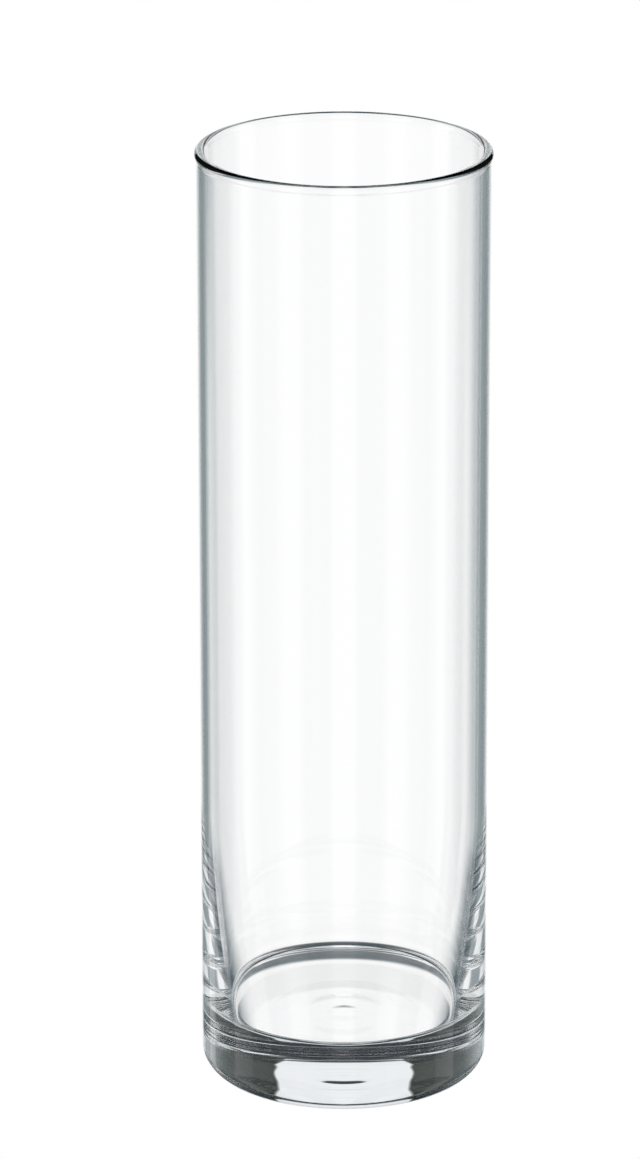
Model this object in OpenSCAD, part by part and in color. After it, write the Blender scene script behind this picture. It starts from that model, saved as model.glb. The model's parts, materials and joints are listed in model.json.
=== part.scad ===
// Clear glass cylinder vase with a heavy solid base and a fire-polished rim.
// The glass is one body of revolution, drawn here as four zones that meet face to face.
// Origin: centre of the standing ring on the surface that the vase stands on. +Z is up.

/* [Cylinder] */
// Height of the vase
height = 300; // [200:5:400]
// Outside diameter of the straight wall
outer_d = 90; // [86:1:120]
// Thickness of the straight wall
wall_t = 2.8; // [2.4:0.1:4]

/* [Rim] */
// How far the fire-polished bead stands proud of the wall
bead_proud = 0.5; // [0.2:0.1:0.8]
// Radius of the hollow neck between the wall and the bead
neck_r = 2.5; // [1.5:0.5:3]
// Height of the rim zone
rim_zone_h = 7; // [7:0.5:12]

/* [Heel] */
// Height above the standing surface at which the wall begins to thicken
heel_top = 88; // [70:1:100]
// Radius of the long arc along which the wall thickens
heel_arc_r = 500; // [400:10:800]

/* [Base] */
// Thickness of the glass under the middle of the floor
base_t = 21; // [17:0.5:26]
// Radius of the fillet between the floor and the wall
fillet_r = 2.5; // [1.5:0.5:8]
// Radius of the shallow dish that the floor makes
floor_dish_r = 1200; // [600:50:2500]
// Radius of the rounded bottom corner
corner_r = 7; // [3:0.5:9]

/* [Underside] */
// Outer radius of the hollow inside the standing ring
hollow_r = 25; // [20:1:32]
// Depth of the hollow at its middle
hollow_depth = 0.4; // [0.2:0.1:1]
// Radius of the polished centre mark
mark_r = 5.5; // [4:0.5:10]
// Depth of the polished centre mark below the hollow
mark_depth = 0.15; // [0.1:0.05:0.8]

/* [Hidden] */

$fn = 180;
// Sides that a preview gives a section's long arcs
long_arc_sides = 1800;
glass_tint = [0.86, 0.92, 0.94, 0.45];
// How far a cutting shape runs past what it cuts
over = 1;

outer_r = outer_d / 2;
inner_r = outer_r - wall_t;
rim_zone_z = height - rim_zone_h;

// The lip is a full round as thick as the wall and the bead together
lip_r = (wall_t + bead_proud) / 2;
lip_centre = [inner_r + lip_r, height - lip_r];

// The neck's arc touches the outer wall and the lip
neck_across = outer_r + neck_r - lip_centre[0];
neck_drop = sqrt((lip_r + neck_r) * (lip_r + neck_r) - neck_across * neck_across);
neck_centre = [outer_r + neck_r, lip_centre[1] - neck_drop];
neck_on_lip = lip_centre + (neck_centre - lip_centre) * lip_r / (lip_r + neck_r);

// Centres of the long arc and of the floor's dish
arc_centre = [inner_r - heel_arc_r, heel_top];
dish_centre = [0, base_t + floor_dish_r];

// The fillet touches both, so its centre lies at a known distance from each of their centres
fillet_centre = crossing(arc_centre, heel_arc_r - fillet_r, dish_centre, floor_dish_r - fillet_r);
fillet_on_wall = arc_centre + (fillet_centre - arc_centre) * heel_arc_r / (heel_arc_r - fillet_r);
fillet_on_floor = dish_centre + (fillet_centre - dish_centre) * floor_dish_r / (floor_dish_r - fillet_r);
base_top = fillet_on_wall[1];

// Where two circles cross, on the side away from the axis
function crossing(p, p_r, q, q_r) =
    let (
        gap = norm(q - p),
        along = (gap * gap + p_r * p_r - q_r * q_r) / (2 * gap),
        aside = sqrt(p_r * p_r - along * along),
        u = (q - p) / gap
    )
    p + along * u + aside * [u[1], -u[0]];

// Radius of the circle whose arc is depth high over a half width
function cap_radius(half_width, depth) = (half_width * half_width + depth * depth) / (2 * depth);

// Disc given by its centre and radius
module disc(centre, radius) {
    translate(centre)
        circle(r = radius, $fn = long_arc_sides);
}

// Half plane section between two heights, out to a radius
module band(low, high, radius) {
    translate([0, low])
        square([radius, high - low]);
}

// Section of the space inside the vase below the straight wall
module lower_cavity_section() {
    difference() {
        intersection() {
            band(0, heel_top, outer_r);
            disc(arc_centre, heel_arc_r);
            disc(dish_centre, floor_dish_r);
        }
        difference() {
            polygon([fillet_on_floor, [fillet_on_wall[0], fillet_on_floor[1] - over],
                [outer_r, fillet_on_floor[1] - over], [outer_r, fillet_on_wall[1]], fillet_on_wall]);
            disc(fillet_centre, fillet_r);
        }
    }
}

// Section of the block of glass at the bottom, with its rounded corner
module block_section() {
    band(0, base_top, outer_r - corner_r);
    band(corner_r, base_top, outer_r);
    disc([outer_r - corner_r, corner_r], corner_r);
}

// Section of the hollow underside and its centre mark
module underside_section() {
    hollow_arc_r = cap_radius(hollow_r, hollow_depth);
    mark_arc_r = cap_radius(mark_r, mark_depth);
    intersection() {
        band(-over, base_t, hollow_r);
        disc([0, hollow_depth - hollow_arc_r], hollow_arc_r);
    }
    intersection() {
        band(-over, base_t, mark_r);
        disc([0, hollow_depth + mark_depth - mark_arc_r], mark_arc_r);
    }
}

// Heavy base with the floor, its fillet and the standing ring
module solid_base() {
    color(glass_tint)
        rotate_extrude()
            difference() {
                block_section();
                lower_cavity_section();
                underside_section();
            }
}

// Lowest stretch of wall, thickening downwards
module heel() {
    color(glass_tint)
        rotate_extrude()
            difference() {
                band(base_top, heel_top, outer_r);
                disc(arc_centre, heel_arc_r);
            }
}

// Straight wall
module cylinder_wall() {
    color(glass_tint)
        rotate_extrude()
            translate([inner_r, heel_top])
                square([wall_t, rim_zone_z - heel_top]);
}

// Fire-polished lip
module rim_bead() {
    color(glass_tint)
        rotate_extrude() {
            translate([inner_r, rim_zone_z])
                square([wall_t, lip_centre[1] - rim_zone_z]);
            disc(lip_centre, lip_r);
            difference() {
                polygon([[outer_r, neck_centre[1]], neck_on_lip, lip_centre, [inner_r, neck_centre[1]]]);
                disc(neck_centre, neck_r);
            }
        }
}

solid_base();
heel();
cylinder_wall();
rim_bead();
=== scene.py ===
import json
import math

import bpy
import numpy as np
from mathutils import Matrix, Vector


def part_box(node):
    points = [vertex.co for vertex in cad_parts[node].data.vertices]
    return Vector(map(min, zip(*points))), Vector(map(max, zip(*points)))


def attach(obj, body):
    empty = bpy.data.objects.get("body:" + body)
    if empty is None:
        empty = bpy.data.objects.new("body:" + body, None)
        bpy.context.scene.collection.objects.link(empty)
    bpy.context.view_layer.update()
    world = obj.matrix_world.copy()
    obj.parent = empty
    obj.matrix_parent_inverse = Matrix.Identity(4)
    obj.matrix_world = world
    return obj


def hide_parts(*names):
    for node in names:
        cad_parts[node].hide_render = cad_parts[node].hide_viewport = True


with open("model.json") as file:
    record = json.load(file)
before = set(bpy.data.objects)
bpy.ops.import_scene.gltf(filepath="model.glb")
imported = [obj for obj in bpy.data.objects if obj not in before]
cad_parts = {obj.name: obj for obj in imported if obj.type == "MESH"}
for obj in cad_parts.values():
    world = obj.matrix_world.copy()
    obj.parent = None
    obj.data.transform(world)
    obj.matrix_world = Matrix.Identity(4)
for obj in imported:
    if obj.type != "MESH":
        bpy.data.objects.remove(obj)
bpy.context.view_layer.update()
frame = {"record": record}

# A clear glass cylinder vase. Each zone of the glass stands for its CAD node as a smooth surface
# of revolution, and the surfaces meet on shared rings, so light sees one piece of glass.

MM = 0.001

# --- Sizes of the vase, in metres -----------------------------------------------------------

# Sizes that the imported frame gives
HEEL_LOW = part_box("heel")[0]
WALL_LOW, WALL_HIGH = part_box("cylinder_wall")
RIM_LOW, RIM_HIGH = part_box("rim_bead")
MOUNTS = {mount["name"]: mount for mount in frame["record"]["mounts"]}

OUTER_R = WALL_HIGH.x
INNER_R = MOUNTS["mouth"]["dims"]["r_mm"] * MM
WALL_T = OUTER_R - INNER_R
HEIGHT = RIM_HIGH.z
RIM_Z = RIM_LOW.z
HEEL_TOP = WALL_LOW.z
BASE_TOP = HEEL_LOW.z
BEAD_PROUD = RIM_HIGH.x - WALL_HIGH.x

# Curves of the section that no box gives
HEEL_ARC_R = 500 * MM
BASE_T = 21 * MM
FILLET_R = 2.5 * MM
FLOOR_DISH_R = 1200 * MM
CORNER_R = 7 * MM
HOLLOW_R = 25 * MM
HOLLOW_DEPTH = 0.4 * MM
MARK_R = 5.5 * MM
MARK_DEPTH = 0.15 * MM
NECK_R = 2.5 * MM

# Faint moulded rings on the underside: half their height at the axis, the distance from one to
# the next, and the radius at which the outer flank of the innermost is steepest
RING_HALF_HEIGHT = 0.07 * MM
RING_STEP = 8.8 * MM
RING_FIRST = 4.5 * MM

# Sides round the vase, and steps along the curves of its section
SIDES = 256
MARK_STEPS = 16
HOLLOW_STEPS = 64
CORNER_STEPS = 20
NECK_STEPS = 8
BEAD_STEPS = 32
HEEL_STEPS = 28
FLOOR_STEPS = 32

# A ring of the mesh with a smaller radius than this is one point on the axis
ON_AXIS = 1e-7


# --- Section of the glass -------------------------------------------------------------------

def arc(centre, radius, start, end, steps, outward):
    """Points (r, z, normal r, normal z) along a circle.

    outward is 1 where the glass lies inside the circle and -1 where it lies outside.
    """
    points = []
    for i in range(steps + 1):
        angle = start + (end - start) * i / steps
        across = math.cos(angle)
        up = math.sin(angle)
        points.append((centre[0] + radius * across, centre[1] + radius * up,
                       outward * across, outward * up))
    return points


def cap_radius(half_width, depth):
    """Radius of the circle whose arc is depth high over a half width."""
    return (half_width ** 2 + depth ** 2) / (2 * depth)


def crossing(first, first_r, second, second_r):
    """Where two circles cross, on the side away from the axis."""
    gap = np.linalg.norm(second - first)
    along = (gap ** 2 + first_r ** 2 - second_r ** 2) / (2 * gap)
    aside = math.sqrt(first_r ** 2 - along ** 2)
    towards = (second - first) / gap
    return first + along * towards + aside * np.array([towards[1], -towards[0]])


def angle_at(centre, point):
    """Angle at which a point lies, seen from a centre."""
    return math.atan2(point[1] - centre[1], point[0] - centre[0])


HEEL_CENTRE = np.array([INNER_R - HEEL_ARC_R, HEEL_TOP])
DISH_CENTRE = np.array([0.0, BASE_T + FLOOR_DISH_R])
FILLET_CENTRE = crossing(HEEL_CENTRE, HEEL_ARC_R - FILLET_R, DISH_CENTRE, FLOOR_DISH_R - FILLET_R)


def rings_at(r):
    """Rise and slope that the faint rings add at a radius; they fade to nothing at HOLLOW_R."""
    turn = 2 * math.pi / RING_STEP
    phase = turn * (r - RING_FIRST)
    wave = 1 - math.sin(phase)
    inward = 1 - (r / HOLLOW_R) ** 2
    fade = inward ** 2
    rise = RING_HALF_HEIGHT * fade * wave
    wave_slope = RING_HALF_HEIGHT * fade * turn * math.cos(phase)
    fade_slope = RING_HALF_HEIGHT * wave * 4 * inward * r / HOLLOW_R ** 2
    return rise, -wave_slope - fade_slope


def cap_run(centre_z, cap_r, start, end, steps):
    """Part of the underside between two radii: a spherical cap with the faint rings on it."""
    points = []
    for i in range(steps + 1):
        r = start + (end - start) * i / steps
        cap_rise = math.sqrt(cap_r ** 2 - r ** 2)
        ring_rise, ring_slope = rings_at(r)
        slope = ring_slope - r / cap_rise
        cosine = 1 / math.hypot(1, slope)
        points.append((r, centre_z + cap_rise + ring_rise, slope * cosine, -cosine))
    return points


def underside():
    """Centre mark, hollow and standing ring, from the axis out, each a smooth run."""
    mark_cap_r = cap_radius(MARK_R, MARK_DEPTH)
    hollow_cap_r = cap_radius(HOLLOW_R, HOLLOW_DEPTH)
    mark_centre = np.array([0.0, HOLLOW_DEPTH + MARK_DEPTH - mark_cap_r])
    hollow_centre = np.array([0.0, HOLLOW_DEPTH - hollow_cap_r])
    meet = crossing(hollow_centre, hollow_cap_r, mark_centre, mark_cap_r)[0]
    mark = cap_run(mark_centre[1], mark_cap_r, 0.0, meet, MARK_STEPS)
    hollow = cap_run(hollow_centre[1], hollow_cap_r, meet, HOLLOW_R, HOLLOW_STEPS)
    standing_ring = [(HOLLOW_R, 0.0, 0.0, -1.0), (OUTER_R - CORNER_R, 0.0, 0.0, -1.0)]
    return [mark, hollow, standing_ring]


def corner():
    """Rounded bottom corner, from the standing ring up to the outer wall."""
    centre = (OUTER_R - CORNER_R, CORNER_R)
    return arc(centre, CORNER_R, -math.pi / 2, 0.0, CORNER_STEPS, 1)


def lip():
    """From the outer wall over the neck and the bead to the inner wall."""
    lip_r = (WALL_T + BEAD_PROUD) / 2
    lip_centre = np.array([INNER_R + lip_r, HEIGHT - lip_r])
    neck_out = OUTER_R + NECK_R
    drop = math.sqrt((lip_r + NECK_R) ** 2 - (neck_out - lip_centre[0]) ** 2)
    neck_centre = np.array([neck_out, lip_centre[1] - drop])
    touch = angle_at(neck_centre, lip_centre)
    neck = arc(neck_centre, NECK_R, math.pi, touch, NECK_STEPS, -1)
    bead = arc(lip_centre, lip_r, touch - math.pi, math.pi, BEAD_STEPS, 1)
    return neck + bead[1:]


def inner_heel():
    """Down the long arc from the straight wall to the head of the fillet."""
    on_wall = angle_at(HEEL_CENTRE, FILLET_CENTRE)
    return arc(HEEL_CENTRE, HEEL_ARC_R, 0.0, on_wall, HEEL_STEPS, -1)


def inner_floor():
    """Fillet and dished floor, in to the axis."""
    on_wall = angle_at(HEEL_CENTRE, FILLET_CENTRE)
    on_dish = angle_at(DISH_CENTRE, FILLET_CENTRE)
    fillet = arc(FILLET_CENTRE, FILLET_R, on_wall, on_dish, FLOOR_STEPS, -1)
    dish = arc(DISH_CENTRE, FLOOR_DISH_R, on_dish, -math.pi / 2, FLOOR_STEPS, -1)
    return fillet + dish[1:]


# --- Zones of the glass, each a list of runs --------------------------------------------------

# Points (r, z, normal r, normal z) where neighbouring zones meet
BASE_SEAM = (OUTER_R, BASE_TOP, 1.0, 0.0)
WALL_FOOT = (OUTER_R, HEEL_TOP, 1.0, 0.0)
WALL_HEAD = (OUTER_R, RIM_Z, 1.0, 0.0)
INNER_HEAD = (INNER_R, RIM_Z, -1.0, 0.0)
INNER_FOOT = (INNER_R, HEEL_TOP, -1.0, 0.0)


def solid_base():
    """Underside, rounded corner, foot of the outer wall, fillet and floor."""
    return underside() + [corner() + [BASE_SEAM], inner_floor()]


def heel():
    """Outer wall, and the long arc inside it."""
    return [[BASE_SEAM, WALL_FOOT], inner_heel()]


def cylinder_wall():
    """Straight wall, outside and inside."""
    return [[WALL_FOOT, WALL_HEAD], [INNER_HEAD, INNER_FOOT]]


def rim_bead():
    """Head of the outer wall, neck, bead and head of the inner wall."""
    return [[WALL_HEAD] + lip() + [INNER_HEAD]]


# --- Meshes ---------------------------------------------------------------------------------

def ring_faces(before, ring):
    """Faces between two rings of points, either of which may be one point on the axis."""
    faces = []
    for here in range(SIDES):
        after = (here + 1) % SIDES
        if len(before) == 1:
            faces.append((before[0], ring[after], ring[here]))
        elif len(ring) == 1:
            faces.append((before[here], before[after], ring[0]))
        else:
            faces.append((before[here], before[after], ring[after], ring[here]))
    return faces


def revolve(name, runs):
    """A surface of revolution with exact normals, smooth along each run."""
    verts, normals, faces = [], [], []
    angles = [2 * math.pi * side / SIDES for side in range(SIDES)]
    for run in runs:
        before = None
        for r, z, normal_r, normal_z in run:
            start = len(verts)
            if r < ON_AXIS:
                ring = [start]
                verts.append((0.0, 0.0, z))
                normals.append((0.0, 0.0, normal_z))
            else:
                ring = list(range(start, start + SIDES))
                verts += [(r * math.cos(a), r * math.sin(a), z) for a in angles]
                normals += [(normal_r * math.cos(a), normal_r * math.sin(a), normal_z) for a in angles]
            if before is not None:
                faces += ring_faces(before, ring)
            before = ring
    mesh = bpy.data.meshes.new(name)
    mesh.from_pydata(verts, [], faces)
    for polygon in mesh.polygons:
        polygon.use_smooth = True
    mesh.normals_split_custom_set_from_vertices(normals)
    piece = bpy.data.objects.new(name, mesh)
    bpy.context.scene.collection.objects.link(piece)
    return piece


# --- Glass ----------------------------------------------------------------------------------

GLASS_COLOUR = (1.0, 1.0, 1.0, 1.0)
GLASS_IOR = 1.52


def clear_glass():
    """Clear polished glass, which lets shadow rays straight through."""
    material = bpy.data.materials.new("clear_glass")
    material.use_nodes = True
    nodes, links = material.node_tree.nodes, material.node_tree.links
    nodes.clear()
    out = nodes.new("ShaderNodeOutputMaterial")
    glass = nodes.new("ShaderNodeBsdfPrincipled")
    glass.inputs["Base Color"].default_value = GLASS_COLOUR
    glass.inputs["Roughness"].default_value = 0.0
    glass.inputs["IOR"].default_value = GLASS_IOR
    glass.inputs["Transmission Weight"].default_value = 1.0
    clear = nodes.new("ShaderNodeBsdfTransparent")
    path = nodes.new("ShaderNodeLightPath")
    mix = nodes.new("ShaderNodeMixShader")
    links.new(path.outputs["Is Shadow Ray"], mix.inputs[0])
    links.new(glass.outputs[0], mix.inputs[1])
    links.new(clear.outputs[0], mix.inputs[2])
    links.new(mix.outputs[0], out.inputs["Surface"])
    return material


# --- Studio as the glass sees it ------------------------------------------------------------

# A white screen straight behind the vase and, either side of it, dark flags that give way to a
# pale room. Below the horizon, where the glass sees no floor, the bands stand for a white table
# with painted shadow of the vase on it.
WHITE = (1.0, 1.0, 1.0)
SCREEN = (0.84, 0.86, 0.88)
PALE = (0.96, 0.97, 0.975)
ROOM = (0.72, 0.74, 0.745)
MID = (0.28, 0.32, 0.34)
FLAG = (0.010, 0.016, 0.011)
FLAG_FAR = (0.045, 0.055, 0.052)
# Painted shadow of the vase on the table straight below it, which the glass sees looking steeply down
NADIR_SHADOW = (0.020, 0.045, 0.060)
NIGHT = (0.003, 0.009, 0.017)
# Colours of the table near the vase, which the glass sees below the horizon: the EDGE greys are the
# soft edge of painted shadow of the vase on it, and the darker greys beside them are painted shadow
STEEP_EDGE = (0.30, 0.35, 0.37)
STEEP_SIDE = (0.12, 0.16, 0.18)
UNDER_EDGE = (0.40, 0.44, 0.45)
UNDER_SHADOW = (0.03, 0.06, 0.08)
UNDER_SIDE = (0.06, 0.09, 0.11)
TABLE_EDGE = (0.72, 0.76, 0.77)
TABLE_SHADOW = (0.12, 0.16, 0.17)
TABLE_SIDE = (0.30, 0.35, 0.36)

# Angle at which the white screen ends and the flags begin, in degrees
SCREEN_EDGE = 20.4
FLAG_EDGE = SCREEN_EDGE + 1

# Colours at one height, by the angle away from straight behind, in degrees. NADIR is painted
# shadow throughout; in STEEP, UNDER and TABLE the greys between the white middle and MID are
# painted shadow of the vase on the table
NADIR = [(0, NADIR_SHADOW), (180, NADIR_SHADOW)]
STEEP = [(0, WHITE), (12, WHITE), (17, STEEP_EDGE), (60, STEEP_SIDE), (180, MID)]
UNDER = [(0, WHITE), (10, WHITE), (15, UNDER_EDGE), (20, UNDER_SHADOW), (50, UNDER_SIDE),
         (60, MID), (80, MID), (110, ROOM), (180, ROOM)]
TABLE = [(0, WHITE), (11, WHITE), (15, TABLE_EDGE), (20, TABLE_SHADOW), (34, TABLE_SIDE),
         (50, MID), (80, MID), (110, ROOM), (180, ROOM)]
LEVEL = [(0, WHITE), (SCREEN_EDGE, WHITE), (FLAG_EDGE, FLAG), (50, FLAG_FAR),
         (75, MID), (110, ROOM), (180, ROOM)]
SIDE = [(0, SCREEN), (SCREEN_EDGE, SCREEN), (FLAG_EDGE, FLAG), (50, FLAG_FAR),
        (75, MID), (180, MID)]
ABOVE = [(0, NIGHT), (180, NIGHT)]

# Bands above NADIR, from the lowest up, with the elevations in degrees between which each
# takes over from the one below
BANDS = [
    (STEEP, -52, -43),
    (UNDER, -41, -35),
    (TABLE, -26, -23),
    (LEVEL, -13, -11),
    (SIDE, 2, 10),
    (ABOVE, 31, 36),
]

# Pale screens round the sides and the front, evenly spaced: how many would go all the way
# round, the cosines between which one's edge fades in, the angles away from straight behind
# between which they begin, and the elevations between which their tops fade out
SCREEN_COUNT = 8
SCREEN_FADE = (-0.2, 0.5)
SCREEN_START = (70, 80)
SCREEN_TOP = (36, 28)

# One low white screen behind the vase and to its left: its azimuth, the angles from its middle
# and the elevations between which its sides, foot and head fade, in degrees
LOW_AZIMUTH = -45
LOW_SIDES = (7, 4)
LOW_FOOT = (-38, -34)
LOW_HEAD = (-14, -18)


def smooth(tree, value, low, high):
    """Goes smoothly from 0 at low to 1 at high; low may be the larger."""
    node = tree.nodes.new("ShaderNodeMapRange")
    node.interpolation_type = "SMOOTHSTEP"
    tree.links.new(value, node.inputs["Value"])
    node.inputs["From Min"].default_value = low
    node.inputs["From Max"].default_value = high
    return node.outputs["Result"]


def between(tree, height, low, high):
    """Goes smoothly from 0 at one elevation to 1 at another, both in degrees."""
    return smooth(tree, height, math.sin(math.radians(low)), math.sin(math.radians(high)))


def math_node(tree, operation, *values):
    """One arithmetic step on sockets or numbers."""
    node = tree.nodes.new("ShaderNodeMath")
    node.operation = operation
    for socket, value in zip(node.inputs, values):
        if isinstance(value, bpy.types.NodeSocket):
            tree.links.new(value, socket)
        else:
            socket.default_value = value
    return node.outputs[0]


def product(tree, first, *others):
    """Several shares multiplied together."""
    total = first
    for other in others:
        total = math_node(tree, "MULTIPLY", total, other)
    return total


def colour_mix(tree, share, first, second):
    """The first colour where the share is 0 and the second where it is 1."""
    node = tree.nodes.new("ShaderNodeMix")
    node.data_type = "RGBA"
    tree.links.new(share, node.inputs["Factor"])
    sockets = [socket for socket in node.inputs if socket.type == "RGBA"]
    for socket, value in zip(sockets, (first, second)):
        if isinstance(value, bpy.types.NodeSocket):
            tree.links.new(value, socket)
        else:
            socket.default_value = (*value, 1.0)
    return [socket for socket in node.outputs if socket.type == "RGBA"][0]


def colour_ramp(tree, value, stops):
    """Colours along an angle that comes as a share of 180 degrees."""
    node = tree.nodes.new("ShaderNodeValToRGB")
    tree.links.new(value, node.inputs["Fac"])
    elements = node.color_ramp.elements
    while len(elements) < len(stops):
        elements.new(1.0)
    for element, (angle, colour) in zip(elements, stops):
        element.position = angle / 180
        element.color = (*colour, 1.0)
    return node.outputs["Color"]


def banded(tree, height, aside):
    """The bands of the studio, each giving way to the next above it, with painted shadow low down."""
    colour = colour_ramp(tree, aside, NADIR)
    for stops, low, high in BANDS:
        share = between(tree, height, low, high)
        colour = colour_mix(tree, share, colour, colour_ramp(tree, aside, stops))
    return colour


def pale_screens(tree, colour, height, azimuth, aside):
    """Adds the pale screens round the sides and the front."""
    wave = math_node(tree, "COSINE", math_node(tree, "MULTIPLY", azimuth, SCREEN_COUNT))
    across = smooth(tree, wave, *SCREEN_FADE)
    start, full = SCREEN_START
    far_round = smooth(tree, aside, start / 180, full / 180)
    share = product(tree, across, far_round, between(tree, height, *SCREEN_TOP))
    return colour_mix(tree, share, colour, PALE)


def low_screen(tree, colour, height, azimuth):
    """Adds the low white screen."""
    turned = math_node(tree, "SUBTRACT", azimuth, math.radians(LOW_AZIMUTH))
    edge, full = LOW_SIDES
    across = smooth(tree, math_node(tree, "COSINE", turned),
                    math.cos(math.radians(edge)), math.cos(math.radians(full)))
    foot = between(tree, height, *LOW_FOOT)
    head = between(tree, height, *LOW_HEAD)
    return colour_mix(tree, product(tree, across, foot, head), colour, WHITE)


def studio_world():
    """The world, which is the only light that the glass sees."""
    world = bpy.data.worlds.new("studio")
    bpy.context.scene.world = world
    world.use_nodes = True
    tree = world.node_tree
    tree.nodes.clear()
    coords = tree.nodes.new("ShaderNodeTexCoord")
    split = tree.nodes.new("ShaderNodeSeparateXYZ")
    tree.links.new(coords.outputs["Generated"], split.inputs[0])
    height = split.outputs["Z"]
    azimuth = math_node(tree, "ARCTAN2", split.outputs["X"], split.outputs["Y"])
    aside = math_node(tree, "DIVIDE", math_node(tree, "ABSOLUTE", azimuth), math.pi)
    colour = banded(tree, height, aside)
    colour = pale_screens(tree, colour, height, azimuth, aside)
    colour = low_screen(tree, colour, height, azimuth)
    background = tree.nodes.new("ShaderNodeBackground")
    tree.links.new(colour, background.inputs["Color"])
    out = tree.nodes.new("ShaderNodeOutputWorld")
    tree.links.new(background.outputs[0], out.inputs[0])


# --- Room as the camera sees it -------------------------------------------------------------

# Half the width of the floor, the height of the walls, and how far the floor lies under the vase
ROOM_HALF = 8.0
ROOM_HEIGHT = 5.0
FLOOR_DROP = 0.2 * MM


def plane(name, corners, material):
    """A flat sheet that no ray from the glass meets."""
    mesh = bpy.data.meshes.new(name)
    mesh.from_pydata(corners, [], [tuple(range(len(corners)))])
    mesh.materials.append(material)
    piece = bpy.data.objects.new(name, mesh)
    bpy.context.scene.collection.objects.link(piece)
    piece.visible_transmission = False
    piece.visible_glossy = False


def glowing_white():
    """Plain white that needs no light."""
    material = bpy.data.materials.new("pale_room")
    material.use_nodes = True
    nodes = material.node_tree.nodes
    nodes.clear()
    glow = nodes.new("ShaderNodeEmission")
    out = nodes.new("ShaderNodeOutputMaterial")
    material.node_tree.links.new(glow.outputs[0], out.inputs[0])
    return material


def pale_room():
    """A white floor and four white walls far off."""
    material = glowing_white()
    sides = [(-1, -1), (1, -1), (1, 1), (-1, 1)]
    corners = [(x * ROOM_HALF, y * ROOM_HALF, -FLOOR_DROP) for x, y in sides]
    plane("floor", corners, material)
    for k, start in enumerate(corners):
        end = corners[(k + 1) % len(corners)]
        top = [(x, y, ROOM_HEIGHT) for x, y, z in (end, start)]
        plane("backdrop_%d" % k, [start, end] + top, material)


# --- Camera ---------------------------------------------------------------------------------

# Elevation in degrees, and distance from the middle of the vase
CAMERA_ELEVATION = 19.16
CAMERA_DISTANCE = 43.77 * OUTER_R
# Lens and sensor in millimetres, shifts as shares of the sensor, and the far limit in metres
LENS = 196.7
SENSOR = 36
SHIFT_X = -0.0206
SHIFT_Y = 0.0308
FAR_LIMIT = 100


def camera():
    """Looks down on the vase from far off through a long lens."""
    elevation = math.radians(CAMERA_ELEVATION)
    data = bpy.data.cameras.new("camera")
    data.sensor_fit = "VERTICAL"
    data.sensor_height = SENSOR
    data.sensor_width = SENSOR
    data.lens = LENS
    data.shift_x = SHIFT_X
    data.shift_y = SHIFT_Y
    data.clip_end = FAR_LIMIT
    rig = bpy.data.objects.new("camera", data)
    bpy.context.scene.collection.objects.link(rig)
    back = Vector((0, -math.cos(elevation), math.sin(elevation)))
    rig.location = Vector((0, 0, HEIGHT / 2)) + back * CAMERA_DISTANCE
    rig.rotation_euler = back.to_track_quat("Z", "Y").to_euler()
    bpy.context.scene.camera = rig


# --- Assembly -------------------------------------------------------------------------------

ZONES = {
    "solid_base": solid_base(),
    "heel": heel(),
    "cylinder_wall": cylinder_wall(),
    "rim_bead": rim_bead(),
}

# Light that leaves at the lip has bounced its way up inside the wall, so this cap on bounces
# sets how dark the lip is. It also darkens the front of the ring in the base.
BOUNCES = 56
CLEAR_BOUNCES = 16

glass_material = clear_glass()
for node, runs in ZONES.items():
    piece = revolve(node + "_glass", runs)
    piece.data.materials.append(glass_material)
    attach(piece, "root")
    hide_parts(node)

studio_world()
pale_room()
camera()

scene = bpy.context.scene
scene.view_settings.view_transform = "Standard"
scene.cycles.use_denoising = True
scene.cycles.max_bounces = BOUNCES
scene.cycles.transmission_bounces = BOUNCES
scene.cycles.glossy_bounces = BOUNCES
scene.cycles.transparent_max_bounces = CLEAR_BOUNCES
